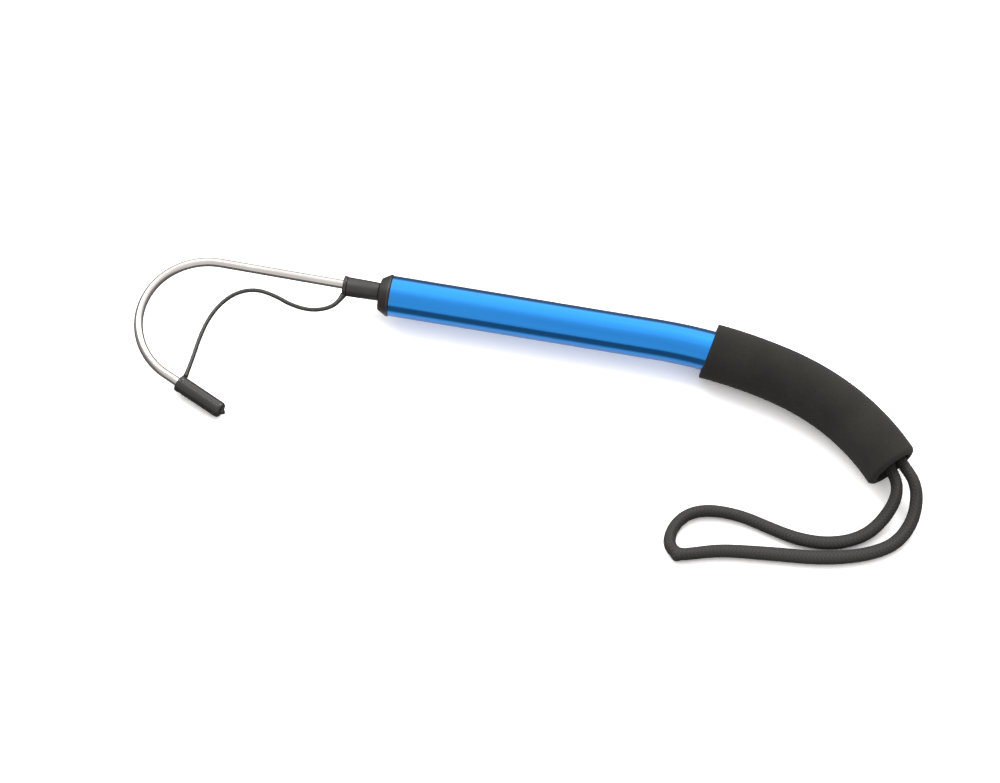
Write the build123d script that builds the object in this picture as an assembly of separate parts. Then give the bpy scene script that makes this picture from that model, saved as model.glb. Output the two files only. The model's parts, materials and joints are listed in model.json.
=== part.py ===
"""Telescopic hand gaff with a curved foam grip, a wrist lanyard and a strapped tip guard.

Millimetres. X runs along the straight part of the handle, with the hook at -X and the butt at +X.
Z is up. The gaff lies flat on z = 0, and the origin is on that surface, under its middle.

Most pieces are drawn about the handle's axis, with x = 0 at the tube's mouth, and are then moved
into place. The hook and what is on it are drawn flat, in the hook's own plane, and then rolled
about that axis until the tip guard reaches the surface.
"""

import math
import os

from build123d import *

# Driving dimensions
TUBE_RADIUS = 11.15
TUBE_WALL = 1.2
STRAIGHT_LENGTH = 147.2  # from the mouth to the start of the bend
BENDS = ((256.0, 16.0), (140.0, 33.0))  # radius and degrees, in turn, towards -Y
BUTT_STRAIGHT = 11.0  # drawn past the butt, so that the grip's end can be cut at a slant
BUTT_ALLOWANCE = 5.8  # how much of it the cut takes off, on the centreline
GRIP_RADIUS = 15.5
GRIP_START = 176.6  # along the tube from its mouth, on its centreline
GRIP_FRONT_SLANT = 11.5  # degrees that the front end's cut leans back at the top
GRIP_BUTT_SLANT = 15.0  # degrees that the butt end's cut leans out at the top
GRIP_BUTT_TURN = 9.0  # degrees that the butt end's cut is turned in plan
GRIP_ROUNDING = 3.0
INNER_RADIUS = 5.0
INNER_WALL = 0.9
INNER_FRONT = -6.6
INNER_BACK = 124.0
ROD_RADIUS = 2.5
HOOK_RADIUS = 37.3
HOOK_TURN = 154.95
HOOK_BEND_X = -95.0
HOOK_ROLL = 7.3  # degrees about the tube's axis, which brings the guard to the surface
CORD_RADIUS = 3.25
STRAP_RADIUS = 1.1

# Fits
SLIP = 0.02  # radial, between pieces that are glued or pressed together
RUNNING = 0.05  # radial, between pieces that slide or turn on each other

# Where the handle's axis is, in the part's frame
MOUTH = Vector(-81.2, 37.5, GRIP_RADIUS)

BORE_RADIUS = TUBE_RADIUS - TUBE_WALL
INNER_BORE = INNER_RADIUS - INNER_WALL


def arc_length(radius, degrees):
    return radius * math.radians(degrees)


PATH_LENGTH = STRAIGHT_LENGTH + sum(arc_length(*bend) for bend in BENDS) + BUTT_STRAIGHT
HANDLE_LENGTH = PATH_LENGTH - BUTT_ALLOWANCE  # to the middle of the grip's butt end


# Building blocks


def sleeve(start, end, outer, inner=0.0):
    """A round bar or ring about the handle's axis, between two values of x."""
    section = Circle(outer)
    if inner:
        section -= Circle(inner)
    return extrude(Plane.YZ.offset(start) * section, end - start)


def turned(*outline):
    """A solid turned about the handle's axis from (x, radius) points."""
    return revolve(make_face(Polyline(*outline, close=True)), Axis.X)


def cross_pin(x, radius, length):
    """A round pin that crosses the handle's axis at x, square to the hook's plane."""
    return Pos(x, 0, 0) * Cylinder(radius, length)


def handle_path(start, end):
    """The handle's centreline between two distances from the tube's mouth."""
    runs = [(STRAIGHT_LENGTH, None, 0.0)]
    runs += [(arc_length(radius, turn), radius, turn) for radius, turn in BENDS]
    runs += [(BUTT_STRAIGHT, None, 0.0)]
    edges = []
    point, heading, travelled = Vector(0, 0, 0), 0.0, 0.0
    for length, radius, turn in runs:
        first = max(start - travelled, 0.0)
        last = min(end - travelled, length)
        whole = run_edge(point, heading, radius, 0.0, length)
        if last > first:
            edges.append(run_edge(point, heading, radius, first, last))
        point = whole @ 1
        heading -= turn
        travelled += length
    return Wire(edges)


def run_edge(point, heading, radius, first, last):
    """The stretch from first to last of a run that is straight, or an arc that turns to the right."""
    ahead = Vector(1, 0, 0).rotate(Axis.Z, heading)
    if radius is None:
        return Edge.make_line(point + ahead * first, point + ahead * last)
    centre = point + Vector(0, -radius, 0).rotate(Axis.Z, heading)
    to_degrees = math.degrees(1 / radius)
    ends = [(point - centre).rotate(Axis.Z, -at * to_degrees) + centre for at in (first, last)]
    tangent = ahead.rotate(Axis.Z, -first * to_degrees)
    return Edge.make_tangent_arc(ends[0], tangent, ends[1])


def swept(path, outer, inner=0.0):
    """A round bar, or a tube, along a path."""
    start = Plane(origin=path @ 0, z_dir=path % 0)
    bar = sweep(start * Circle(outer), path=path)
    if inner:
        bar -= sweep(start * Circle(inner), path=path)
    return bar


def butt_plane(back=0.0):
    """The plane across the handle, this far in from the butt, with its normal out of the butt."""
    path = handle_path(0, HANDLE_LENGTH)
    outward = path % 1
    return Plane(origin=(path @ 1) - outward * back, x_dir=(0, 0, 1), z_dir=outward)


# Handle


CAP_RECESS = 5.0
CAP_FLANGE = 2.0
CAP_DEPTH = 17.0  # how far the cap's inner end is from the butt
CORD_SLOT_SHIFT = -2.7  # across the butt, towards the outside of the grip's curve
STRAND_GAP = 6.7  # between the two strands' centres
KNOT_LENGTH = 14.4
KNOT_CORE = 4.6
KNOT_TURNS = 3
KNOT_PITCH = 4.2
KNOT_ROUND = (3.9, 2.9)  # a round of the cord: the radius of its line, and its own
KNOT_SHIFT = 0.5  # keeps the knot clear of the curved bore


def outer_tube():
    end = HANDLE_LENGTH - CAP_RECESS - CAP_FLANGE
    return swept(handle_path(0, end), TUBE_RADIUS, BORE_RADIUS)


def waste_beyond(distance, side, slant, turn=0.0):
    """A block to cut the grip with, from a slanted plane on its centreline towards side, -1 or 1."""
    place = handle_path(0, distance)
    at, ahead = place @ 1, place % 1
    heading = math.degrees(math.atan2(ahead.Y, ahead.X))
    width = 4 * GRIP_RADIUS
    block = Box(width, width, width)
    return Pos(at) * Rot(0, 0, heading + turn) * Rot(0, slant, 0) * Pos(side * width / 2, 0, 0) * block


def foam_grip():
    """A foam sleeve, cut at a slant at both ends and rounded at the butt."""
    blank = handle_path(GRIP_START - 5, PATH_LENGTH)
    front = waste_beyond(GRIP_START, -1, GRIP_FRONT_SLANT)
    butt = waste_beyond(HANDLE_LENGTH, 1, GRIP_BUTT_SLANT, GRIP_BUTT_TURN)
    outside = swept(blank, GRIP_RADIUS) - butt
    end = handle_path(0, HANDLE_LENGTH) @ 1
    rim = [edge for edge in outside.edges() if (edge.center(CenterOf.MASS) - end).length < 1]
    return fillet(rim, GRIP_ROUNDING) - front - swept(blank, TUBE_RADIUS + SLIP)


COLLAR_LIP = 11.6
COLLAR_NOSE = 8.4
COLLAR_FRONT = -6.0
COLLAR_SPIGOT = 16.0
WIPER_FRONT = -4.8
WIPER_WIDTH = 2.0
WIPER_DEPTH = 1.2


def front_collar():
    """The nose that closes the tube's mouth and guides the inner tube, with a groove for its wiper."""
    body = turned(
        (COLLAR_FRONT, 0),
        (COLLAR_FRONT, COLLAR_NOSE),
        (COLLAR_FRONT + 0.4, COLLAR_NOSE + 0.4),
        (-1.4, COLLAR_LIP - 0.1),
        (-1.0, COLLAR_LIP),
        (-0.4, COLLAR_LIP),
        (0, COLLAR_LIP - 0.4),
        (0, BORE_RADIUS - SLIP),
        (COLLAR_SPIGOT - 0.8, BORE_RADIUS - SLIP),
        (COLLAR_SPIGOT, BORE_RADIUS - 0.8),
        (COLLAR_SPIGOT, 0),
    )
    bore = sleeve(COLLAR_FRONT - 1, COLLAR_SPIGOT + 1, INNER_RADIUS + RUNNING)
    groove = sleeve(WIPER_FRONT, WIPER_FRONT + WIPER_WIDTH, INNER_RADIUS + WIPER_DEPTH + SLIP)
    return body - bore - groove


def collar_wiper():
    ends = (WIPER_FRONT + SLIP, WIPER_FRONT + WIPER_WIDTH - SLIP)
    return sleeve(*ends, INNER_RADIUS + WIPER_DEPTH, INNER_RADIUS + RUNNING)


def butt_cap():
    """The plug in the tube's butt end, with a slot that both strands of the lanyard pass through."""
    back = HANDLE_LENGTH - CAP_RECESS
    flange = swept(handle_path(back - CAP_FLANGE, back), TUBE_RADIUS - SLIP)
    plug = swept(handle_path(HANDLE_LENGTH - CAP_DEPTH, back), BORE_RADIUS - SLIP)
    slot = Pos(0, CORD_SLOT_SHIFT) * SlotCenterToCenter(STRAND_GAP, 2 * CORD_RADIUS + 0.4, rotation=90)
    return flange + plug - extrude(butt_plane(0) * slot, -CAP_DEPTH - 1)


def lanyard_knot():
    """The stopper knot behind the butt cap, plain: three stacked rounds of cord."""
    knot = Cylinder(KNOT_CORE, KNOT_LENGTH, align=(Align.CENTER, Align.CENTER, Align.MAX))
    first = KNOT_ROUND[1] + 0.3
    for i in range(KNOT_TURNS):
        knot += Pos(0, 0, -first - KNOT_PITCH * i) * Torus(*KNOT_ROUND)
    return butt_plane(CAP_DEPTH).location * Pos(0, KNOT_SHIFT, 0) * knot


# Cord and strap: straight runs joined by tangent arcs


def corner_radii(points):
    """The largest arc that each corner's two runs allow."""
    radii = []
    for before, at, after in zip(points, points[1:], points[2:]):
        come, go = at - before, after - at
        half_turn = math.radians(come.get_angle(go)) / 2
        radii.append(0.45 * min(come.length, go.length) / math.tan(half_turn))
    return radii


def soft_tube(name, points, radius):
    """A round tube along a route. It prints the corner radii and the tube's length."""
    points = [Vector(*point) for point in points]
    radii = corner_radii(points)
    line = FilletPolyline(*points, radius=radii)
    path = Wire(line.edges())
    tube = swept(path, radius)
    section = math.pi * radius**2
    print(name, "radii", [round(r, 1) for r in radii])
    print(name, "length", round(path.length, 1), "volume / section", round(tube.volume / section, 1))
    return tube


# The lanyard, from the knot, out of the butt, round its loop on the surface and back to the knot
LANYARD_ROUTE = (
    (195.6, -6.9, 15.5),
    (208.7, -22.0, 15.5),
    (212.6, -33.1, 12.0),
    (208.0, -45.3, 6.2),
    (199.0, -57.3, 3.35),
    (183.5, -65.3, 3.35),
    (165.5, -66.3, 3.35),
    (148.5, -62.3, 3.35),
    (132.5, -57.6, 3.35),
    (119.5, -56.6, 3.35),
    (109.5, -58.0, 3.35),
    (102.0, -62.1, 3.35),
    (97.2, -69.0, 3.35),
    (95.2, -77.5, 3.35),
    (97.0, -84.7, 3.35),
    (102.8, -88.0, 3.35),
    (110.3, -85.6, 3.35),
    (118.0, -82.9, 3.35),
    (127.0, -80.6, 3.35),
    (141.5, -78.9, 3.35),
    (157.5, -77.4, 3.35),
    (174.5, -75.9, 3.35),
    (191.0, -72.4, 3.35),
    (205.5, -66.8, 3.35),
    (216.6, -58.3, 3.35),
    (222.6, -45.3, 5.3),
    (223.2, -33.2, 9.7),
    (220.2, -24.4, 14.0),
    (213.8, -17.5, 15.5),
    (200.7, -2.5, 15.5),
)

# The tip guard's strap, from its ring to the guard, in the hook's plane and about the handle's axis
STRAP_ROUTE = (
    (-25.6, -4.1, 0.0),
    (-27.7, -9.7, 0.0),
    (-33.4, -14.3, 0.0),
    (-42.0, -16.6, 0.0),
    (-52.3, -15.3, 0.0),
    (-63.1, -11.0, 0.0),
    (-73.5, -9.4, 0.0),
    (-83.3, -13.2, 0.0),
    (-90.7, -21.6, 0.0),
    (-95.4, -32.3, 0.0),
    (-97.7, -44.3, 0.0),
    (-98.7, -56.3, 0.0),
    (-100.4, -67.9, 0.0),
)


# Hook and inner section


HEAD_SHIFT = 1.2  # the socket's head from the axis, in the hook's plane
HEAD_RADIUS = (5.35, 5.0)  # at its front and its back
HEAD_FRONT = -24.4
NOSE_RADIUS = 4.6
RING_RADIUS = 5.7
RING_WIDTH = 2.1
SPIGOT_BACK = 10.0
SHANK_OFFSET = 2.0  # the shank's centre from the axis, in the hook's plane
SHANK_SET = 0.557  # degrees, the shank's lean away from the axis
SHANK_BACK = -9.0  # x of the shank's end, inside the head
HOOK_PIN_X = -14.0
PIN_RADIUS = 1.0
PIN_LENGTH = 9.4
GUARD_START = 9.1  # along the straight leg from the end of the bend
GUARD_LENGTH = 29.2
GUARD_RADIUS = 4.75
NIPPLE = (1.9, 0.6, 2.2)  # base radius, tip radius and height
POINT_REACH = 36.0
POINT_TAPER = 13.0
POINT_RADIUS = 0.15


def hook_leg():
    """The start and the direction of the hook's straight leg, in the hook's plane."""
    rise = math.tan(math.radians(SHANK_SET))
    start = Vector(HOOK_BEND_X, SHANK_OFFSET + (HEAD_FRONT - HOOK_BEND_X) * rise, 0)
    heading = 180 - SHANK_SET
    centre = start + Vector(0, HOOK_RADIUS, 0).rotate(Axis.Z, heading)
    leg = (start - centre).rotate(Axis.Z, HOOK_TURN) + centre
    ahead = Vector(1, 0, 0).rotate(Axis.Z, heading + HOOK_TURN)
    return start, leg, ahead


def along_leg(distance):
    """A plane across the hook's straight leg, with its normal towards the point."""
    _, leg, ahead = hook_leg()
    return Plane(origin=leg + ahead * distance, x_dir=(0, 0, 1), z_dir=ahead)


def hook():
    """A round rod: shank, one bend and a straight leg that is ground to a point."""
    bend, leg, ahead = hook_leg()
    kink = Vector(HEAD_FRONT, SHANK_OFFSET, 0)
    back = Vector(SHANK_BACK, SHANK_OFFSET, 0)
    taper_start = POINT_REACH - POINT_TAPER
    shank = swept(Wire([Edge.make_line(back, kink)]), ROD_RADIUS)
    rod = swept(
        Wire(
            [
                Edge.make_line(kink, bend),
                Edge.make_tangent_arc(bend, bend - kink, leg),
                Edge.make_line(leg, leg + ahead * taper_start),
            ]
        ),
        ROD_RADIUS,
    )
    point = along_leg(taper_start).location * Cone(
        ROD_RADIUS, POINT_RADIUS, POINT_TAPER, align=(Align.CENTER, Align.CENTER, Align.MIN)
    )
    return shank + rod + point - head_pin(PIN_RADIUS + SLIP)


def head_pin(radius):
    """A bar square to the hook's plane, through the head and the shank."""
    return Pos(0, SHANK_OFFSET, 0) * cross_pin(HOOK_PIN_X, radius, PIN_LENGTH)


def hook_socket():
    """A moulded head round the shank, a nose for the strap's ring, and a spigot in the inner tube."""
    front, back = HEAD_RADIUS
    nose = HEAD_FRONT - RING_WIDTH - 0.2
    head = turned(
        (nose, 0),
        (nose, NOSE_RADIUS),
        (HEAD_FRONT, NOSE_RADIUS),
        (HEAD_FRONT, front - 0.4),
        (HEAD_FRONT + 0.4, front),
        (INNER_FRONT - 0.4, back),
        (INNER_FRONT, back - 0.4),
        (INNER_FRONT, 0),
    )
    spigot = sleeve(INNER_FRONT - 1, SPIGOT_BACK, INNER_BORE - SLIP)
    bore = Pos(0, SHANK_OFFSET, 0) * sleeve(nose - 1, SHANK_BACK + SLIP, ROD_RADIUS + 0.1)
    return Pos(0, HEAD_SHIFT, 0) * head + spigot - bore - head_pin(PIN_RADIUS + SLIP)


def strap_ring():
    front = HEAD_FRONT - RING_WIDTH - 0.1
    return Pos(0, HEAD_SHIFT, 0) * sleeve(front, front + RING_WIDTH, RING_RADIUS, NOSE_RADIUS + SLIP)


def inner_tube():
    tube = sleeve(INNER_FRONT + SLIP, INNER_BACK, INNER_RADIUS, INNER_BORE)
    return tube - cross_pin(PLUG_PIN_X, PLUG_PIN_RADIUS + SLIP, 3 * INNER_RADIUS)


def hook_pin():
    return Pos(0, SHANK_OFFSET, 0) * cross_pin(HOOK_PIN_X, PIN_RADIUS, PIN_LENGTH - 0.2)


def tip_guard():
    """A soft sleeve with a closed end and a small nipple at its tip."""
    start = along_leg(GUARD_START).location
    upright = (Align.CENTER, Align.CENTER, Align.MIN)
    outside = Cylinder(GUARD_RADIUS, GUARD_LENGTH, align=upright)
    outside = chamfer(outside.edges().sort_by(Axis.Z)[-1], 0.6)
    nipple = Pos(0, 0, GUARD_LENGTH) * Cone(*NIPPLE, align=upright)
    bore = Cylinder(ROD_RADIUS + RUNNING, POINT_REACH - GUARD_START + 0.3, align=upright)
    return start * (outside + nipple - bore)


# Twist lock, on the tail of the inner tube


PLUG_PIN_X = 112.0
PLUG_PIN_RADIUS = 1.25
PLUG_FRONT = 104.0
PLUG_HEAD = 6.0
PLUG_HEAD_RADIUS = 6.9
GUIDE_RADIUS = 9.87
BUMPER_RADIUS = 9.2
BUMPER_WIDTH = 4.4
STUD_RADIUS = 3.0
STUD_FRONT = 118.0
STUD_BACK = 158.0
EXPANDER_FRONT = 131.0
EXPANDER_BACK = 146.0
EXPANDER_CONE = (136.0, 6.2)  # where the cone starts, and its radius there
EXPANDER_MOUTH = 8.0
EXPANDER_SLOT = 1.8
EXPANDER_SLOTS = 3
EXPANDER_PLAY = 0.1  # to the bore, with the lock slack
RING_GROOVE = (1.2, 2.0, 1.6)  # from the expander's front, width, and depth below the bore
WEDGE_FRONT = 139.0
WEDGE_BACK = 151.0
WEDGE_GAP = 0.06
WEDGE_RIM = 8.8
KEY_WIDTH = 1.2
KEY_REACH = 9.0
WASHER_FRONT = 153.0
WASHER_THICKNESS = 1.2
WASHER_RADIUS = 7.5
NUT_ACROSS_FLATS = 10.0
NUT_HEIGHT = 3.2


def tail_plug():
    """The plug pinned in the inner tube's tail. The lock's stud is screwed into it."""
    head_end = INNER_BACK + SLIP + PLUG_HEAD
    body = sleeve(PLUG_FRONT, INNER_BACK + SLIP, INNER_BORE - SLIP)
    body += sleeve(INNER_BACK + SLIP, head_end, PLUG_HEAD_RADIUS)
    body -= sleeve(STUD_FRONT - 1, head_end + 1, STUD_RADIUS + SLIP)
    return body - cross_pin(PLUG_PIN_X, PLUG_PIN_RADIUS + SLIP, 3 * INNER_RADIUS)


def plug_pin():
    return cross_pin(PLUG_PIN_X, PLUG_PIN_RADIUS, 2 * INNER_RADIUS - 0.2)


def guide_bush():
    """The ring that centres the tail in the outer tube."""
    ring = sleeve(INNER_BACK + 0.3, INNER_BACK + PLUG_HEAD - 0.1, GUIDE_RADIUS, PLUG_HEAD_RADIUS + SLIP)
    rims = [edge for edge in ring.edges().filter_by(GeomType.CIRCLE) if edge.radius > GUIDE_RADIUS - 0.1]
    return chamfer(rims, 0.4)


def bumper_ring():
    """The rubber ring that meets the collar's spigot when the gaff is pulled out."""
    back = INNER_BACK - 0.1
    return sleeve(back - BUMPER_WIDTH, back, BUMPER_RADIUS, INNER_RADIUS + SLIP)


def lock_stud():
    return chamfer(sleeve(STUD_FRONT, STUD_BACK, STUD_RADIUS).edges().sort_by(Axis.X)[-1], 0.6)


def slot_blades(width, reach, start, end):
    """Flat radial blades about the axis, one for each slot of the expander."""
    blade = Box(end - start, width, reach, align=(Align.MIN, Align.CENTER, Align.MIN))
    return [Rot(360 / EXPANDER_SLOTS * i, 0, 0) * Pos(start, 0, 0) * blade for i in range(EXPANDER_SLOTS)]


def split_expander():
    """The slotted sleeve that the wedge spreads against the outer tube's bore."""
    outer = BORE_RADIUS - EXPANDER_PLAY
    bore = STUD_RADIUS + 0.6
    cone_x, cone_radius = EXPANDER_CONE
    body = turned(
        (EXPANDER_FRONT, bore),
        (EXPANDER_FRONT, outer - 0.5),
        (EXPANDER_FRONT + 0.5, outer),
        (EXPANDER_BACK - 0.5, outer),
        (EXPANDER_BACK, outer - 0.5),
        (EXPANDER_BACK, EXPANDER_MOUTH),
        (cone_x, cone_radius),
        (cone_x, bore),
    )
    start, width, depth = RING_GROOVE
    front = EXPANDER_FRONT + start
    groove = sleeve(front, front + width, TUBE_RADIUS, BORE_RADIUS - depth)
    for blade in slot_blades(EXPANDER_SLOT, TUBE_RADIUS, cone_x + 1, EXPANDER_BACK + 1):
        body -= blade
    return body - groove


def expander_ring():
    """The ring that drags in the bore, so that the expander stays put while the stud turns."""
    start, width, depth = RING_GROOVE
    front = EXPANDER_FRONT + start + SLIP
    return sleeve(front, front + width - 2 * SLIP, BORE_RADIUS - SLIP, BORE_RADIUS - depth + SLIP)


def wedge_nut():
    """The cone on the stud's thread. Its keys ride in the expander's slots, so that it can't turn."""
    cone_x, cone_radius = EXPANDER_CONE
    slope = (EXPANDER_MOUTH - cone_radius) / (EXPANDER_BACK - cone_x)

    def radius_at(x):
        return cone_radius + (x - cone_x) * slope - WEDGE_GAP

    body = turned(
        (WEDGE_FRONT, 0),
        (WEDGE_FRONT, radius_at(WEDGE_FRONT)),
        (EXPANDER_BACK + 1, radius_at(EXPANDER_BACK + 1)),
        (EXPANDER_BACK + 2, WEDGE_RIM),
        (WEDGE_BACK, WEDGE_RIM),
        (WEDGE_BACK, 0),
    )
    for blade in slot_blades(KEY_WIDTH, KEY_REACH, WEDGE_FRONT + 1, EXPANDER_BACK + 3):
        body += blade
    return body - sleeve(WEDGE_FRONT - 1, WEDGE_BACK + 1, STUD_RADIUS + RUNNING)


def stop_washer():
    return sleeve(WASHER_FRONT, WASHER_FRONT + WASHER_THICKNESS, WASHER_RADIUS, STUD_RADIUS + SLIP)


def stop_nut():
    prism = RegularPolygon(NUT_ACROSS_FLATS / 2, 6, major_radius=False) - Circle(STUD_RADIUS + SLIP)
    front = WASHER_FRONT + WASHER_THICKNESS + RUNNING
    return extrude(Plane.YZ.offset(front) * prism, NUT_HEIGHT)


# Placing and writing


LEVEL_PIECES = {
    "outer_tube": outer_tube,
    "foam_grip": foam_grip,
    "front_collar": front_collar,
    "collar_wiper": collar_wiper,
    "butt_cap": butt_cap,
    "lanyard_knot": lanyard_knot,
    "split_expander": split_expander,
    "expander_ring": expander_ring,
    "wedge_nut": wedge_nut,
}
ROLLED_PIECES = {
    "inner_tube": inner_tube,
    "hook_socket": hook_socket,
    "hook": hook,
    "hook_pin": hook_pin,
    "strap_ring": strap_ring,
    "tip_guard": tip_guard,
    "tail_plug": tail_plug,
    "plug_pin": plug_pin,
    "guide_bush": guide_bush,
    "bumper_ring": bumper_ring,
    "lock_stud": lock_stud,
    "stop_washer": stop_washer,
    "stop_nut": stop_nut,
}


def assembly():
    """Every node in the part's frame, by name."""
    place = Location(MOUTH)
    roll = Location((0, 0, 0), (HOOK_ROLL, 0, 0))
    nodes = {name: place * make() for name, make in LEVEL_PIECES.items()}
    nodes |= {name: place * roll * make() for name, make in ROLLED_PIECES.items()}
    nodes["tip_strap"] = place * roll * soft_tube("tip_strap", STRAP_ROUTE, STRAP_RADIUS)
    nodes["lanyard_cord"] = soft_tube("lanyard_cord", LANYARD_ROUTE, CORD_RADIUS)
    return nodes


def main():
    os.makedirs("parts", exist_ok=True)
    for name, shape in assembly().items():
        export_step(shape.solids()[0], f"parts/{name}.step")


main()
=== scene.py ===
"""Looks of a telescopic gaff: polished hook, blue tube, foam grip, lanyard and tip guard.

Metres, in the part's frame. The gaff lies on z = 0 with its hook at -X and its butt at +X.
Round pieces are turned about the handle's axis, which comes from the frame's own boxes and
joints. The outlines of turned pieces and the routes of the cords are in millimetres.
"""

import json
import math

import bmesh
import bpy
import numpy as np
from mathutils import Matrix, Vector, noise


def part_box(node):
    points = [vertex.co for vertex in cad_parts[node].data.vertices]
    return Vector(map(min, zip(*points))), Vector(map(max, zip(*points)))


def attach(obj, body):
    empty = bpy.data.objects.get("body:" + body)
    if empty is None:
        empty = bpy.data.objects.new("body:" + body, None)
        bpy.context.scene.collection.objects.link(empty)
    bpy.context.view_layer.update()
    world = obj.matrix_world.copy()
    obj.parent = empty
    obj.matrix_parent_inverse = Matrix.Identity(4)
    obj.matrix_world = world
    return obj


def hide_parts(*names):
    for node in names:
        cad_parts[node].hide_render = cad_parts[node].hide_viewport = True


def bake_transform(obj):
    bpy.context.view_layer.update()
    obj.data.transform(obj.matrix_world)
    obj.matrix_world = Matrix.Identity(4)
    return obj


MM = 0.001

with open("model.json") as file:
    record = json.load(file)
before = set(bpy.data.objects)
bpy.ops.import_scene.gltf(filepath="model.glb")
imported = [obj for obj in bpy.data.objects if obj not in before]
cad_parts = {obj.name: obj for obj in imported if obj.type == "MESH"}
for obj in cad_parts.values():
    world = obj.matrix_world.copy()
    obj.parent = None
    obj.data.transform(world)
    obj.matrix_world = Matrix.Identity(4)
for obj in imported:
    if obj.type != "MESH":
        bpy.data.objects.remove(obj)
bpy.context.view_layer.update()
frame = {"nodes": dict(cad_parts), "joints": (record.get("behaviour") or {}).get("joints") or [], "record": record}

# Sizes that the frame gives
tube_low, tube_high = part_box("outer_tube")
grip_low, grip_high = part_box("foam_grip")
TUBE_RADIUS = (tube_high[2] - tube_low[2]) / 2
GRIP_RADIUS = (grip_high[2] - grip_low[2]) / 2
MOUTH = Vector((tube_low[0], tube_high[1] - TUBE_RADIUS, (tube_low[2] + tube_high[2]) / 2))
GUARD_AXIS = Vector(next(j["axis"] for j in frame["joints"] if j["name"] == "guard_pull"))
HOOK_ROLL = math.atan2(-GUARD_AXIS.z, -GUARD_AXIS.y)

# The handle's centreline, the tube's wall, and how far the butt's cap sits inside it
STRAIGHT_LENGTH = 147.2 * MM
BENDS = ((256 * MM, math.radians(16)), (140 * MM, math.radians(33)))
BUTT_STRAIGHT = 5.2 * MM
HANDLE_LENGTH = STRAIGHT_LENGTH + sum(radius * turn for radius, turn in BENDS) + BUTT_STRAIGHT
TUBE_WALL = 1.2 * MM
CAP_RECESS = 5 * MM
CAP_FLANGE = 2 * MM

# The foam grip: where it starts, how its end cuts lean and turn, its edges and its fit
GRIP_START = 176.6 * MM
GRIP_FRONT_SLANT = math.radians(11.5)
GRIP_BUTT_SLANT = math.radians(15)
GRIP_BUTT_TURN = math.radians(9)
GRIP_ROUNDING = 3 * MM
GRIP_FRONT_EDGE = 0.7 * MM
BORE_EDGE = 0.4 * MM
GRIP_SLIP = 0.05 * MM
GRIP_UNEVENNESS = 0.08 * MM

# The hook's line, in its own plane and about the handle's axis
ROD_RADIUS = 2.5 * MM
HOOK_RADIUS = 37.3 * MM
HOOK_TURN = math.radians(154.95)
HOOK_BEND_X = -95 * MM
SHANK_OFFSET = 2.0 * MM
SHANK_SET = math.radians(0.557)
SHANK_BACK = -9 * MM
HEAD_SHIFT = 1.2 * MM
HEAD_FRONT = -24.4 * MM
POINT_REACH = 36 * MM
POINT_TAPER = 13 * MM
GUARD_START = 9.1 * MM
GUARD_LENGTH = 29.2 * MM

CORD_DIAMETER = 6.5 * MM
STRAP_DIAMETER = 2.2 * MM
ROUTE_STEP = 0.8 * MM

# Turned pieces, in plain millimetres: places along the axis from the tube's mouth, and radii
COLLAR_FRONT, COLLAR_BACK = -6.0, 16.0
COLLAR_NOSE, COLLAR_LIP = 8.75, 11.6
COLLAR_BORE, COLLAR_SPIGOT = 5.1, 9.93
INNER_FRONT, INNER_BACK = -6.5, 124.0
INNER_BORE, INNER_RADIUS = 4.1, 5.0
HEAD_BACK, HEAD_WAIST = -6.6, 9.0
HEAD_RADII = (5.35, 5.22, 5.0)
NOSE_LENGTH, NOSE_RADIUS = 2.3, 4.6
SHANK_BORE = 2.4
RING_SETBACK, RING_WIDTH = 2.2, 2.1
RING_BORE, RING_RADIUS = 4.62, 5.7

# Steps in each corner that rounded() makes
CORNER_STEPS = 4


# Mesh helpers


def new_piece(name, vertices, faces, uvs=None, unbent=None):
    """A smooth mesh object. uvs has one (u, v) a vertex, and unbent its place before any bend."""
    mesh = bpy.data.meshes.new(name)
    mesh.from_pydata([tuple(v) for v in vertices], [], faces)
    if uvs is not None:
        layer = mesh.uv_layers.new(name="along")
        for loop in mesh.loops:
            layer.data[loop.index].uv = uvs[loop.vertex_index]
    if unbent is not None:
        places = mesh.attributes.new("unbent", "FLOAT_VECTOR", "POINT")
        places.data.foreach_set("vector", [c for v in unbent for c in v])
    mesh.validate()
    mesh.polygons.foreach_set("use_smooth", [True] * len(mesh.polygons))
    piece = bpy.data.objects.new(name, mesh)
    bpy.context.scene.collection.objects.link(piece)
    return piece


def ring_faces(rings, around, closed=False):
    """Quads between rings of vertices. closed joins the last ring to the first."""
    faces = []
    for i in range(rings if closed else rings - 1):
        after = (i + 1) % rings
        for j in range(around):
            k = (j + 1) % around
            faces.append((i * around + j, i * around + k, after * around + k, after * around + j))
    return faces


def shell(name, outline, place, around=96):
    """A closed outline of (along, radius), in millimetres, turned about an axis.

    place puts a point, given along the axis, across it and up, in the frame.
    """
    vertices, unbent = [], []
    for along, radius in outline:
        for j in range(around):
            angle = math.tau * j / around
            at = (along * MM, radius * math.cos(angle) * MM, radius * math.sin(angle) * MM)
            vertices.append(place(*at))
            unbent.append(at)
    faces = ring_faces(len(outline), around, closed=True)
    piece = new_piece(name, vertices, faces, unbent=unbent)
    finish_edges(piece, 35)
    return piece


def finish_edges(piece, sharp):
    """Turns the faces outwards, and makes edges over this many degrees sharp."""
    work = bmesh.new()
    work.from_mesh(piece.data)
    bmesh.ops.recalc_face_normals(work, faces=work.faces)
    work.to_mesh(piece.data)
    work.free()
    piece.data.set_sharp_from_angle(angle=math.radians(sharp))


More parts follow.
